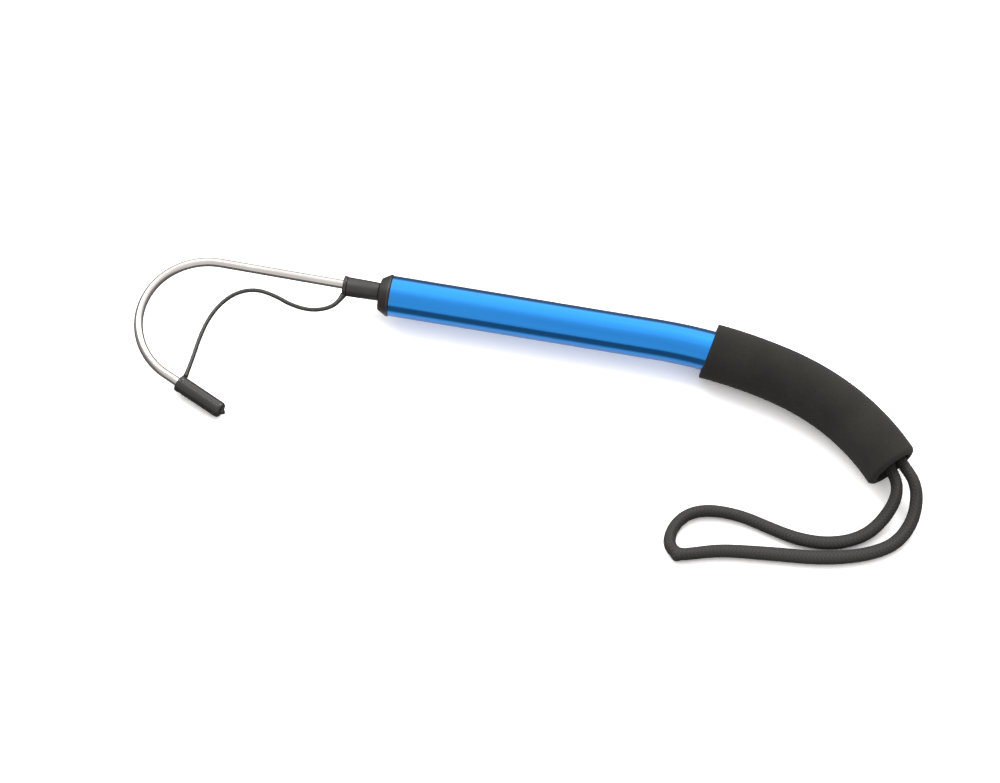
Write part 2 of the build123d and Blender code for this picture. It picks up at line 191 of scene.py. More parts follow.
def rounded(outline, radius):
    """The same closed (along, radius) outline with each corner rounded, in millimetres."""
    points = [Vector(p) for p in outline]
    smooth = []
    for i, at in enumerate(points):
        before, after = points[i - 1], points[(i + 1) % len(points)]
        come, go = before - at, after - at
        cut = min(radius, 0.45 * come.length, 0.45 * go.length)
        first, last = at + come.normalized() * cut, at + go.normalized() * cut
        for k in range(CORNER_STEPS + 1):
            t = k / CORNER_STEPS
            smooth.append(first * (1 - t) ** 2 + at * 2 * t * (1 - t) + last * t**2)
    return [tuple(p) for p in smooth]


def tube_along(name, points, half_sizes, around):
    """A tube that follows points, with UVs: turns around, and metres along.

    half_sizes gives the section's half width, level, its half height, and how far its middle is
    shifted to the right, from the metres along.
    """
    line = [Vector(p) for p in points]
    count = len(line)
    vertices, uvs, travelled = [], [], 0.0
    for i in range(count):
        tangent = (line[min(i + 1, count - 1)] - line[max(i - 1, 0)]).normalized()
        side = tangent.cross(Vector((0, 0, 1))).normalized()
        up = side.cross(tangent)
        travelled += (line[i] - line[i - 1]).length if i else 0.0
        half_width, half_height, shift = half_sizes(travelled)
        for j in range(around + 1):
            angle = math.tau * j / around
            across = math.cos(angle) * half_width + shift
            vertices.append(line[i] + side * across + up * math.sin(angle) * half_height)
            uvs.append((j / around, travelled))
    faces = []
    for i in range(count - 1):
        for j in range(around):
            a, b = i * (around + 1) + j, (i + 1) * (around + 1) + j
            faces.append((a, a + 1, b + 1, b))
    last = (count - 1) * (around + 1)
    faces.append(tuple(reversed(range(around))))
    faces.append(tuple(last + j for j in range(around)))
    return new_piece(name, vertices, faces, uvs=uvs)


def route_line(route):
    """Points along the smooth curve whose control points are the route."""
    curve = bpy.data.curves.new("route", "CURVE")
    curve.dimensions = "3D"
    spline = curve.splines.new("NURBS")
    spline.points.add(len(route) - 1)
    for point, at in zip(spline.points, route):
        point.co = (*at, 1.0)
    spline.order_u = 3
    spline.use_endpoint_u = True
    spline.resolution_u = 24
    holder = bpy.data.objects.new("route", curve)
    bpy.context.scene.collection.objects.link(holder)
    bpy.context.view_layer.update()
    mesh = bpy.data.meshes.new_from_object(holder)
    points = [Vector(v.co) for v in mesh.vertices]
    bpy.data.objects.remove(holder)
    bpy.data.curves.remove(curve)
    bpy.data.meshes.remove(mesh)
    return points


def evenly(points, step):
    """Points a fixed distance apart along a line."""
    line = [points[0]]
    due = step
    travelled = 0.0
    for a, b in zip(points, points[1:]):
        length = (b - a).length
        while length > 0 and travelled + length >= due:
            line.append(a.lerp(b, (due - travelled) / length))
            due += step
        travelled += length
    if (points[-1] - line[-1]).length > 0.3 * step:
        line.append(points[-1])
    return line


def nearest_along(points, place):
    """How far along a line its point nearest to a place is."""
    nearest = min(range(len(points)), key=lambda i: (points[i] - place).length)
    return path_length(points[: nearest + 1])


def path_length(points):
    """How long the line through these points is."""
    return sum((b - a).length for a, b in zip(points, points[1:]))


# Lines of the object


def on_handle(distance):
    """The point and the heading of the handle's centreline, this far from the tube's mouth."""
    point, heading, left = MOUTH.copy(), 0.0, distance
    runs = [(STRAIGHT_LENGTH, None), *((radius * turn, radius) for radius, turn in BENDS)]
    runs.append((HANDLE_LENGTH, None))
    for length, radius in runs:
        step = min(left, length)
        if radius is None:
            point += Vector((math.cos(heading), math.sin(heading), 0)) * step
        else:
            turn = step / radius
            chord = 2 * radius * math.sin(turn / 2)
            point += Vector((math.cos(heading - turn / 2), math.sin(heading - turn / 2), 0)) * chord
            heading -= turn
        left -= step
        if left <= 0:
            break
    return point, heading


def about_axis(along, across, up):
    """A point about the handle's straight axis."""
    return MOUTH + Vector((along, across, up))


def about_handle(along, across, up):
    """A point about the handle's centreline, bends and all."""
    point, heading = on_handle(along)
    return point + Vector((-math.sin(heading) * across, math.cos(heading) * across, up))


def from_hook_plane(x, y, z=0.0):
    """A point of the hook's own plane, or z above it, in the part's frame."""
    cosine, sine = math.cos(HOOK_ROLL), math.sin(HOOK_ROLL)
    return MOUTH + Vector((x, y * cosine - z * sine, y * sine + z * cosine))


def about_head(along, across, up):
    """A point about the axis of the socket's head, which is off the handle's."""
    return from_hook_plane(along, across + HEAD_SHIFT, up)


def cut_at(distance, slant, turn=0.0):
    """A slanted cut across the handle: a point of its plane and the plane's normal."""
    point, heading = on_handle(distance)
    heading += turn
    flat = Vector((math.cos(heading), math.sin(heading), 0))
    return point, flat * math.cos(slant) - Vector((0, 0, math.sin(slant)))


def reach_cut(cut, guess, across, up):
    """How far along the handle a line beside its centreline meets a cut."""
    at, normal = cut
    along = guess
    for _ in range(4):
        here = about_handle(along, across, up)
        ahead = (about_handle(along + MM, across, up) - here) / MM
        along -= (here - at).dot(normal) / ahead.dot(normal)
    return along


def hook_line():
    """The hook's centreline from its socket to its point, and its leg's start and heading."""
    shank_back = Vector((SHANK_BACK, SHANK_OFFSET))
    kink = Vector((HEAD_FRONT, SHANK_OFFSET))
    bend = Vector((HOOK_BEND_X, SHANK_OFFSET + (HEAD_FRONT - HOOK_BEND_X) * math.tan(SHANK_SET)))
    heading = math.pi - SHANK_SET
    points = [shank_back, kink]
    points += [kink.lerp(bend, t / 12) for t in range(1, 13)]
    centre = bend + Vector((-math.sin(heading), math.cos(heading))) * HOOK_RADIUS
    steps = 96
    for i in range(1, steps + 1):
        turn = Matrix.Rotation(HOOK_TURN * i / steps, 2)
        points.append(centre + turn @ (bend - centre))
    leg = points[-1]
    heading += HOOK_TURN
    ahead = Vector((math.cos(heading), math.sin(heading)))
    points += [leg + ahead * (POINT_REACH * i / 60) for i in range(1, 61)]
    return [from_hook_plane(*p) for p in points], leg, ahead


# Materials


class Nodes:
    """Short calls that build a node tree."""

    def __init__(self, tree):
        self.tree = tree

    def node(self, kind, links=None, **values):
        """A new node. links maps its inputs to sockets or values, and values are its settings."""
        node = self.tree.nodes.new(kind)
        for name, value in values.items():
            setattr(node, name, value)
        for name, value in (links or {}).items():
            if isinstance(value, bpy.types.NodeSocket):
                self.tree.links.new(value, node.inputs[name])
            else:
                node.inputs[name].default_value = value
        return node

    def math(self, operation, a, b=0.0):
        return self.node("ShaderNodeMath", {0: a, 1: b}, operation=operation).outputs[0]

    def blend(self, factor, first, second, blend_type="MIX"):
        """Two colours mixed, or joined as blend_type says."""
        links = {0: factor, 6: first, 7: second}
        node = self.node("ShaderNodeMix", links, data_type="RGBA", blend_type=blend_type)
        return node.outputs[2]

    def swell(self, value, low, high, start, end):
        """Goes smoothly from start to end, as value goes from low to high."""
        links = {0: value, 1: low, 2: high, 3: start, 4: end}
        return self.node("ShaderNodeMapRange", links, interpolation_type="SMOOTHSTEP").outputs[0]

    def ramp(self, factor, *stops):
        """A colour or value ramp from (position, colour or value) stops."""
        node = self.node("ShaderNodeValToRGB", {0: factor})
        elements = node.color_ramp.elements
        while len(elements) < len(stops):
            elements.new(0.5)
        for element, (position, value) in zip(elements, stops):
            element.position = position
            shade = (value,) * 3 if isinstance(value, (int, float)) else value
            element.color = (*shade, 1.0)
        return node.outputs[0]


class Material(Nodes):
    """A principled material and short calls that build its node tree."""

    def __init__(self, name, colour, roughness, metallic=0.0, **sockets):
        self.data = bpy.data.materials.new(name)
        self.data.use_nodes = True
        super().__init__(self.data.node_tree)
        self.shader = self.tree.nodes["Principled BSDF"]
        self.set("Base Color", (*colour, 1.0))
        self.set("Roughness", roughness)
        self.set("Metallic", metallic)
        for socket, value in sockets.items():
            self.set(socket.replace("_", " "), value)

    def set(self, socket, value):
        self.shader.inputs[socket].default_value = value

    def link(self, output, socket):
        self.tree.links.new(output, self.shader.inputs[socket])

    def place(self, scale=(1, 1, 1), unbent=False):
        """Coordinates to put a texture by: the object's own, or its place before it was bent."""
        if unbent:
            source = self.node("ShaderNodeAttribute", attribute_name="unbent").outputs["Vector"]
        else:
            source = self.node("ShaderNodeTexCoord").outputs["Object"]
        return self.node("ShaderNodeMapping", {"Vector": source, "Scale": scale}).outputs[0]

    def noise(self, scale, detail=3.0, stretch=(1, 1, 1), unbent=False):
        links = {"Vector": self.place(stretch, unbent), "Scale": scale, "Detail": detail}
        return self.node("ShaderNodeTexNoise", links).outputs[0]

    def cells(self, scale):
        links = {"Vector": self.place(), "Scale": scale}
        return self.node("ShaderNodeTexVoronoi", links).outputs[0]

    def bump(self, height, strength, distance, normal=None):
        links = {"Height": height, "Strength": strength, "Distance": distance}
        if normal is not None:
            links["Normal"] = normal
        return self.node("ShaderNodeBump", links).outputs[0]

    def relief(self, *layers):
        """Bump layers of (height, strength, distance in metres), one over the other."""
        normal = None
        for layer in layers:
            normal = self.bump(*layer, normal=normal)
        self.link(normal, "Normal")


def anodised_blue():
    """Clear blue anodising on a drawn tube: fine lines along it, and a few pale scuffs."""
    coat = {"Coat_Weight": 0.4, "Coat_Roughness": 0.2}
    m = Material("anodised_blue", (0.012, 0.22, 0.64), 0.17, 1.0, **coat)
    lines = m.noise(60, 4, (0.12, 6, 6), unbent=True)
    tone = m.ramp(lines, (0.3, (0.010, 0.205, 0.61)), (0.7, (0.014, 0.235, 0.67)))
    specks = m.ramp(m.noise(900, 2, (0.35, 1, 1), unbent=True), (0.73, 0.0), (0.80, 0.35))
    patches = m.ramp(m.noise(38, 2, unbent=True), (0.58, 0.0), (0.68, 1.0))
    scuffs = m.math("MULTIPLY", specks, patches)
    m.link(m.blend(scuffs, tone, (0.45, 0.62, 0.80, 1)), "Base Color")
    m.link(m.ramp(lines, (0.25, 0.13), (0.8, 0.21)), "Roughness")
    m.relief((lines, 0.12, 0.00004), (scuffs, 0.3, 0.00005))
    return m.data


def polished_steel():
    """Polished stainless rod with faint turned-round polishing marks."""
    m = Material("polished_steel", (0.55, 0.52, 0.50), 0.09, 1.0)
    marks = m.noise(420, 3, (1, 0.25, 0.25))
    m.link(m.ramp(marks, (0.3, 0.06), (0.75, 0.14)), "Roughness")
    tone = m.ramp(m.noise(55, 3), (0.3, (0.50, 0.465, 0.45)), (0.7, (0.57, 0.54, 0.52)))
    m.link(tone, "Base Color")
    m.relief((marks, 0.05, 0.00003))
    return m.data


def plain_steel():
    """Zinc-plated hardware with fine drawing marks."""
    m = Material("plain_steel", (0.56, 0.56, 0.57), 0.32, 1.0)
    marks = m.noise(300, 3, (0.3, 1, 1))
    m.link(m.ramp(marks, (0.3, 0.26), (0.75, 0.42)), "Roughness")
    m.relief((marks, 0.15, 0.00004))
    return m.data


def black_anodised():
    """Black anodising on a drawn tube, with fine lines along it."""
    coat = {"Coat_Weight": 0.5, "Coat_Roughness": 0.12}
    m = Material("black_anodised", (0.022, 0.022, 0.024), 0.22, 0.6, **coat)
    lines = m.noise(90, 4, (0.1, 5, 5))
    tone = m.ramp(lines, (0.3, (0.016, 0.016, 0.018)), (0.7, (0.030, 0.030, 0.032)))
    m.link(tone, "Base Color")
    m.link(m.ramp(lines, (0.25, 0.18), (0.8, 0.30)), "Roughness")
    m.relief((lines, 0.1, 0.00004))
    return m.data


def plug_aluminium():
    """Bare aluminium with turning rings."""
    m = Material("plug_aluminium", (0.70, 0.70, 0.71), 0.3, 1.0)
    rings = m.noise(700, 2, (1, 0.02, 0.02))
    m.link(m.ramp(rings, (0.3, 0.24), (0.7, 0.4)), "Roughness")
    m.relief((rings, 0.2, 0.00005))
    return m.data


def brass():
    """Brass with turning rings and a cloudy tone."""
    m = Material("brass", (0.60, 0.42, 0.15), 0.28, 1.0)
    rings = m.noise(700, 2, (1, 0.02, 0.02))
    tone = m.ramp(m.noise(60, 3), (0.3, (0.52, 0.35, 0.12)), (0.7, (0.66, 0.47, 0.18)))
    m.link(tone, "Base Color")
    m.relief((rings, 0.2, 0.00005))
    return m.data


def moulded(name, colour, roughness, grain=900, depth=0.00003, strength=0.35):
    """A moulded plastic or rubber: fine spark-eroded grain, cloudy tone and uneven sheen."""
    m = Material(name, colour, roughness)
    cloud = m.noise(70, 3)
    low, high = [tuple(c * k for c in colour) for k in (0.8, 1.25)]
    m.link(m.ramp(cloud, (0.3, low), (0.7, high)), "Base Color")
    fine = m.noise(grain, 3)
    m.link(m.ramp(fine, (0.25, roughness * 0.85), (0.8, min(1.0, roughness * 1.2))), "Roughness")
    m.relief((fine, strength, depth))
    return m.data


def eva_foam():
    """Ground closed-cell foam: small open cells, a fine nap and a few deeper pit hollows, painted darker as
    painted shade.
    """
    sheen = {"Sheen_Weight": 0.03, "Sheen_Roughness": 0.5, "Specular_IOR_Level": 0.2}
    m = Material("eva_foam", (0.015, 0.0142, 0.0125), 0.92, **sheen)
    cells = m.cells(2300)
    pit_depth_and_shade = m.ramp(m.cells(420), (0.05, 0.0), (0.22, 1.0))
    cloud = m.noise(45, 4)
    dark = m.ramp(cloud, (0.3, (0.0125, 0.0118, 0.0102)), (0.7, (0.0185, 0.0175, 0.0152)))
    # painted shade: the pit hollows are painted darker than the foam around them
    m.link(m.blend(pit_depth_and_shade, (0.008, 0.0075, 0.007, 1), dark), "Base Color")
    m.relief((pit_depth_and_shade, 0.35, 0.00012), (cells, 0.5, 0.00010), (m.noise(160, 4), 0.3, 0.0002))
    return m.data


def braid():
    """A woven sleeve: yarns that wind opposite ways, and pass over and under in turn, with painted highlight on
    top and painted shade under.
    """
    carriers, pitch = 16, 2.1 * MM
    sheen = {"Sheen_Weight": 0.05, "Sheen_Roughness": 0.4}
    m = Material("cord_braid", (0.015, 0.0145, 0.013), 0.66, **sheen)
    uv = m.node("ShaderNodeUVMap", uv_map="along").outputs[0]
    split = m.node("ShaderNodeSeparateXYZ", {0: uv}).outputs
    around = m.math("MULTIPLY", split[0], carriers / 2)
    along = m.math("DIVIDE", split[1], pitch)
    windings = [m.math("ADD", around, along), m.math("SUBTRACT", around, along)]
    crests = []
    for winding in windings:
        wave = m.math("PINGPONG", winding, 0.5)
        crests.append(m.math("SINE", m.math("MULTIPLY", wave, math.pi)))
    steps = [m.math("FLOOR", winding) for winding in windings]
    over = m.math("MODULO", m.math("ABSOLUTE", m.math("ADD", *steps)), 2.0)
    under = m.math("SUBTRACT", 1.0, over)
    on_top = [m.math("MULTIPLY", *pair) for pair in zip(crests, (over, under))]
    height = m.math("ADD", *on_top)
    fibres = m.noise(2600, 2)
    # painted highlight and painted shade: the yarn on top is lighter and the yarn underneath darker, over a random
    # fibre tone
    shade = m.math("ADD", m.math("MULTIPLY", height, 0.75), m.math("MULTIPLY", fibres, 0.25))
    tone = m.ramp(shade, (0.1, (0.003, 0.0027, 0.0023)), (0.9, (0.0155, 0.0142, 0.012)))
    m.link(tone, "Base Color")
    m.relief((height, 0.8, 0.00022), (fibres, 0.4, 0.00006))
    return m.data


MATERIALS = {
    "anodised_tube": anodised_blue(),
    "inner_tube": black_anodised(),
    "stainless_rod": polished_steel(),
    "steel_hardware": plain_steel(),
    "black_nylon": moulded("black_nylon", (0.012, 0.0113, 0.0105), 0.40),
    "soft_pvc": moulded("soft_pvc", (0.012, 0.0113, 0.0105), 0.26, 500, 0.00002, 0.25),
    "black_rubber": moulded("black_rubber", (0.020, 0.020, 0.020), 0.7, 600, 0.00005, 0.5),
    "eva_foam": eva_foam(),
    "braided_cord": braid(),
    "natural_nylon": moulded("natural_nylon", (0.66, 0.64, 0.58), 0.45),
    "brass_wedge": brass(),
    "plug_aluminium": plug_aluminium(),
}


def dress(piece, slot, body=None, node=None):
    """Gives a piece its material and slot, the body it rides on, and the CAD node it replaces."""
    piece.data.materials.clear()
    piece.data.materials.append(MATERIALS[slot])
    if body:
        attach(piece, body)
    if node:
        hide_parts(node)
    return piece


# Pieces


def dress_cad():
    """Every CAD node takes its slot's material, on the object, so its mesh stays as it is."""
    for part in frame["record"]["subparts"]:
        obj = frame["nodes"][part["node"]]
        for slot in obj.material_slots:
            slot.link = "OBJECT"
            slot.material = MATERIALS[part["material_slot"]]


def outer_tube():
    """The handle's tube as one smooth bend, with its edges broken."""
    length = (HANDLE_LENGTH - CAP_RECESS - CAP_FLANGE) / MM
    outer = TUBE_RADIUS / MM
    inner = outer - TUBE_WALL / MM
    edge = 0.3
    steps = 150
    outline = [(0.0, inner + edge), (0.0, outer - edge), (edge, outer)]
    outline += [(length * i / steps, outer) for i in range(1, steps)]
    outline += [(length, outer), (length, inner)]
    outline += [(length * (1 - i / steps), inner) for i in range(1, steps)]
    outline += [(edge, inner)]
    tube = shell("tube_shell", outline, about_handle, 128)
    dress(tube, "anodised_tube", "handle", "outer_tube")


def front_collar():
    """The moulded collar: a straight nose, a cone up to its lip, and the spigot in the tube."""
    outline = [
        (COLLAR_FRONT, COLLAR_BORE),
        (COLLAR_FRONT, COLLAR_NOSE),
        (-1.2, COLLAR_LIP - 0.05),
        (-0.4, COLLAR_LIP),
        (0.0, COLLAR_LIP - 0.4),
        (0.0, COLLAR_SPIGOT),
        (COLLAR_BACK, COLLAR_SPIGOT),
        (COLLAR_BACK, COLLAR_BORE),
    ]
    collar = shell("collar_nose", rounded(outline, 0.35), about_axis, 128)
    dress(collar, "black_nylon", "handle", "front_collar")


def inner_tube():
    """The tube that slides in the handle, with its front edge broken."""
    edge = 0.2
    outline = [
        (INNER_FRONT, INNER_BORE),
        (INNER_FRONT, INNER_RADIUS - edge),
        (INNER_FRONT + edge, INNER_RADIUS),
        (INNER_BACK, INNER_RADIUS),
        (INNER_BACK, INNER_BORE),
    ]
    tube = shell("sliding_tube", outline, about_axis)
    dress(tube, "inner_tube", "inner_section", "inner_tube")


def hook_socket():
    """The moulded head round the shank, with the thinner nose that carries the strap's ring."""
    front = HEAD_FRONT / MM
    nose = front - NOSE_LENGTH
    outline = [
        (nose, SHANK_BORE),
        (nose, NOSE_RADIUS),
        (front, NOSE_RADIUS),
        (front, HEAD_RADII[0]),
        (front + HEAD_WAIST, HEAD_RADII[1]),
        (HEAD_BACK, HEAD_RADII[2]),
        (HEAD_BACK, SHANK_BORE),
    ]
    head = shell("shank_head", rounded(outline, 0.4), about_head)
    dress(head, "black_nylon", "inner_section", "hook_socket")


def strap_ring():
    """The soft ring on the head's nose, which the strap grows out of."""
    front = HEAD_FRONT / MM - RING_SETBACK
    back = front + RING_WIDTH
    outline = [(front, RING_BORE), (front, RING_RADIUS), (back, RING_RADIUS), (back, RING_BORE)]
    ring = shell("strap_collar", rounded(outline, 0.5), about_head)
    dress(ring, "soft_pvc", "inner_section", "strap_ring")


def grip_rings(bore):
    """The foam's rings, each (share of the way to the butt, inset from its end, radius)."""
    front_steps, steps, butt_steps, bore_steps = 6, 130, 10, 30
    edge = GRIP_FRONT_EDGE
    rings = [(0.0, 0.0, bore), (0.0, 0.0, (bore + GRIP_RADIUS) / 2)]
    for i in range(front_steps + 1):
        turn = math.pi / 2 * i / front_steps
        inset = edge * (1 - math.cos(turn))
        rings.append((0.0, inset, GRIP_RADIUS - edge * (1 - math.sin(turn))))
    rings += [(i / steps, 0.0, GRIP_RADIUS) for i in range(2, steps - 3)]
    for i in range(butt_steps + 1):
        turn = math.pi / 2 * i / butt_steps
        inset = GRIP_ROUNDING * (1 - math.sin(turn))
        rings.append((1.0, inset, GRIP_RADIUS - GRIP_ROUNDING * (1 - math.cos(turn))))
    rings += [(1.0, 0.0, bore + BORE_EDGE), (1.0, BORE_EDGE, bore)]
    rings += [(1 - i / bore_steps, 0.0, bore) for i in range(1, bore_steps)]
    return rings


def foam_grip():
    """The foam sleeve: two slanted cuts, a rounded butt, and ground foam's faint unevenness."""
    bore = TUBE_RADIUS + GRIP_SLIP
    front_cut = cut_at(GRIP_START, GRIP_FRONT_SLANT)
    butt_cut = cut_at(HANDLE_LENGTH, GRIP_BUTT_SLANT, GRIP_BUTT_TURN)
    rings = grip_rings(bore)
    around = 96
    vertices = []
    for share, inset, radius in rings:
        for j in range(around):
            angle = math.tau * j / around
            across, up = radius * math.cos(angle), radius * math.sin(angle)
            front = reach_cut(front_cut, GRIP_START, across, up)
            butt = reach_cut(butt_cut, HANDLE_LENGTH, across, up)
            along = front + (butt - front) * share + inset * (1 - 2 * share)
            if radius > bore + 1.5 * MM:
                seed = Vector((along * 28, math.cos(angle) * 0.9, math.sin(angle) * 0.9))
                shrink = 1 - GRIP_UNEVENNESS * (1 + noise.noise(seed)) / radius
                across, up = across * shrink, up * shrink
            vertices.append(about_handle(along, across, up))
    grip = new_piece("foam_sleeve", vertices, ring_faces(len(rings), around, closed=True))
    finish_edges(grip, 60)
    dress(grip, "eva_foam", "handle", "foam_grip")


def hook():
    """The hook's rod, with a long ground point."""
    line, _, _ = hook_line()
    total = path_length(line)
    tip = 0.06

    def half_sizes(travelled):
        radius = ROD_RADIUS * min(1.0, tip + (1 - tip) * (total - travelled) / POINT_TAPER)
        return radius, radius, 0.0

    dress(tube_along("hook_rod", line, half_sizes, 40), "stainless_rod", "inner_section", "hook")


def tip_guard():
    """The soft sleeve on the point: a rolled rim, a moulding line each side and a small nub."""
    _, leg, lead = hook_line()
    start = from_hook_plane(*(leg + lead * GUARD_START))
    ahead = GUARD_AXIS.normalized()
    side = ahead.cross(Vector((0, 0, 1))).normalized()
    up = side.cross(ahead).normalized()
    end = GUARD_LENGTH / MM
    pocket, rim, nub = 2.55, 4.75, end + 2.1
    outline = [
        (end - 2, 0.0),
        (end - 2, pocket),
        (0.5, pocket),
        (0.0, pocket + 0.35),
        (0.0, rim - 0.3),
        (0.35, rim),
        (1.9, rim),
        (2.3, rim - 0.2),
        (end - 1.6, rim - 0.25),
        (end - 0.4, rim - 0.75),
        (end, 2.7),
        (end, 1.9),
        (end + 0.8, 1.6),
        (nub, 0.6),
        (nub, 0.0),
    ]
    # every corner is rounded but the first and the last, which are on the axis
    corner = CORNER_STEPS + 1
    outline = [outline[0], *rounded(outline, 0.45)[corner:-corner], outline[-1]]
    around = 72
    seam_height = 0.10
    vertices = []
    for along, radius in outline:
        for j in range(around):
            angle = math.tau * j / around
            on_barrel = radius > 3.2 and 2.4 < along < end - 0.4
            on_seam = j % (around // 2) == 0 and on_barrel
            reach = (radius + (seam_height if on_seam else 0.0)) * MM
            offset = side * math.cos(angle) * reach + up * math.sin(angle) * reach
            vertices.append(start + ahead * along * MM + offset)
    guard = new_piece("guard_sleeve", vertices, ring_faces(len(outline), around))
    finish_edges(guard, 50)
    dress(guard, "soft_pvc", "tip_guard", "tip_guard")


# The strap's control points in the hook's plane, in millimetres, from its ring to the guard
STRAP_ROUTE = (
    (-25.6, -4.1),
    (-27.7, -9.7),
    (-33.4, -14.3),
    (-42.0, -16.6),
    (-52.3, -15.3),
    (-63.1, -11.0),
    (-73.5, -9.4),
    (-83.3, -13.2),
    (-90.7, -21.6),
    (-95.4, -32.3),
    (-97.7, -44.3),
    (-98.7, -56.3),
    (-100.4, -67.9),
)


def tip_strap():
    """The moulded strap from its ring to the guard, flared where it grows out of each."""
    route = [from_hook_plane(x * MM, y * MM) for x, y in STRAP_ROUTE]
    line = evenly(route_line(route), ROUTE_STEP)
    total = path_length(line)
    at_ring, at_guard = 3 * MM, 2.5 * MM

    def half_sizes(travelled):
        flare = math.exp(-travelled / at_ring) + 0.5 * math.exp((travelled - total) / at_guard)
        radius = STRAP_DIAMETER / 2 * (1 + 0.6 * flare)
        return 1.05 * radius, 0.95 * radius, 0.0

    strap = tube_along("guard_strap", line, half_sizes, 20)
    dress(strap, "soft_pvc", node="tip_strap")
    tuple(route[1])
    tuple(route[-1])
    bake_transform(strap)
    tuple(route[0])
    [tuple(p) for p in line]


# The lanyard's control points, in millimetres, from the knot round the loop and back to it
LANYARD_ROUTE = (
    (195.6, -6.9, 15.5),
    (208.7, -22.0, 15.5),
    (212.6, -33.1, 12.0),
    (208.0, -45.3, 6.2),
    (199.0, -57.3, 3.35),
    (183.5, -65.3, 3.35),
    (165.5, -66.3, 3.35),
    (148.5, -62.3, 3.35),
    (132.5, -57.6, 3.35),
    (119.5, -56.6, 3.35),
    (109.5, -58.0, 3.35),
    (102.0, -62.1, 3.35),
    (97.2, -69.0, 3.35),
    (95.2, -77.5, 3.35),
    (97.0, -84.7, 3.35),
    (102.8, -88.0, 3.35),
    (110.3, -85.6, 3.35),
    (118.0, -82.9, 3.35),
    (127.0, -80.6, 3.35),
    (141.5, -78.9, 3.35),
    (157.5, -77.4, 3.35),
    (174.5, -75.9, 3.35),
    (191.0, -72.4, 3.35),
    (205.5, -66.8, 3.35),
    (216.6, -58.3, 3.35),
    (222.6, -45.3, 5.3),
    (223.2, -33.2, 9.7),
    (220.2, -24.4, 14.0),
    (213.8, -17.5, 15.5),
    (200.7, -2.5, 15.5),
)
# Where the cord is creased at the end of its loop
LANYARD_CREASE = Vector((101.6, -88.0, 3.35))
# How much wider than round the braid lies, by the millimetres along it from the knot
LANYARD_FLATNESS = (
    (0, 0.0),
    (30, 0.0),
    (45, 0.12),
    (75, 0.18),
    (105, 0.10),
    (140, 0.02),
    (175, 0.0),
    (200, 0.08),
    (240, 0.26),
    (275, 0.28),
    (310, 0.18),
    (335, 0.08),
    (350, 0.0),
)


def lanyard_knot():
    """The stopper knot behind the butt cap: the two strands tied in three rounds."""
    low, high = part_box("lanyard_knot")
    centre = (Vector(low) + Vector(high)) / 2
    _, heading = on_handle(HANDLE_LENGTH)
    ahead = Vector((math.cos(heading), math.sin(heading), 0))
    left = Vector((-ahead.y, ahead.x, 0))
    up = Vector((0, 0, 1))
    rounds, length, reach, thickness = 3, 8.4 * MM, 3.6 * MM, 2.8 * MM
    a_round = 32
    steps = rounds * a_round
    points = []
    for i in range(steps + 1):
        angle = math.tau * i / a_round
        middle = centre + ahead * length * (i / steps - 0.5)
        points.append(middle + (left * math.cos(angle) + up * math.sin(angle)) * reach)
    return tube_along("knot_rounds", points, lambda _: (thickness, thickness, 0.0), 20)


def lanyard():
    """The braided cord, a little flat where it lies, and pinched at the fold of its loop."""
    route = [Vector(p) * MM for p in LANYARD_ROUTE]
    line = evenly(route_line(route), ROUTE_STEP)
    crease = nearest_along(line, LANYARD_CREASE * MM)
    unevenness, crease_length, crease_bulge = 0.03, 1.6 * MM, 0.9 * MM

    def half_sizes(travelled):
        wave = noise.noise(Vector((travelled * 60, 0.5, 0.5)))
        radius = CORD_DIAMETER / 2 * (1 + unevenness * wave)
        flat = np.interp(travelled / MM, *zip(*LANYARD_FLATNESS))
        pinch = math.exp(-(((travelled - crease) / crease_length) ** 2))
        bulge = crease_bulge * pinch
        return (1 + flat) * radius + bulge, (1 - 0.45 * flat) * radius, bulge

    cord = tube_along("wrist_cord", line, half_sizes, 32)
    dress(cord, "braided_cord", "handle", "lanyard_cord")
    knot = dress(lanyard_knot(), "braided_cord", "handle", "lanyard_knot")
    butt, _ = on_handle(HANDLE_LENGTH)
    tuple(butt)
    [tuple(p) for p in line]


# Stage


def floor():
    """Overexposed white paper.

    Glossy rays see it painted dark, a painted reflection in polished metal, except for a painted bright patch
    close in front of the handle.
    """
    bpy.ops.mesh.primitive_plane_add(size=12)
    plane = bpy.context.object
    plane.name = "floor"
    plane.location.z = -0.0002
    m = Material("floor_paper", (0.6, 0.6, 0.6), 1.0)
    m.set("Specular IOR Level", 0.0)
    path = m.node("ShaderNodeLightPath").outputs
    x, y, _ = m.node("ShaderNodeSeparateXYZ", {0: m.place()}).outputs
    # painted reflection: glossy rays see the paper dark, except for a bright patch close in front of the handle
    front = m.swell(y, MOUTH.y - 42 * MM, MOUTH.y - 16 * MM, 0.0, 1.0)
    behind = m.swell(y, MOUTH.y, MOUTH.y + 15 * MM, 1.0, 0.0)
    beside = m.swell(x, MOUTH.x - 20 * MM, MOUTH.x, 0.0, 1.0)
    patch = m.math("MULTIPLY", m.math("MULTIPLY", front, behind), beside)
    painted_reflection_tone = m.swell(patch, 0.0, 1.0, 0.12, 0.85)
    bounce = m.ramp(m.noise(4, 3), (0.3, (0.59, 0.59, 0.595)), (0.7, (0.61, 0.61, 0.615)))
    paper = m.ramp(m.noise(4, 3), (0.3, (0.99, 0.99, 1.0)), (0.7, (1.0, 1.0, 1.0)))
    exposed = m.blend(1.0, paper, (1.2, 1.195, 1.195, 1), "MULTIPLY")
    unseen = m.blend(path["Is Glossy Ray"], bounce, painted_reflection_tone)
    m.link(m.blend(path["Is Camera Ray"], unseen, exposed), "Base Color")
    plane.data.materials.append(m.data)


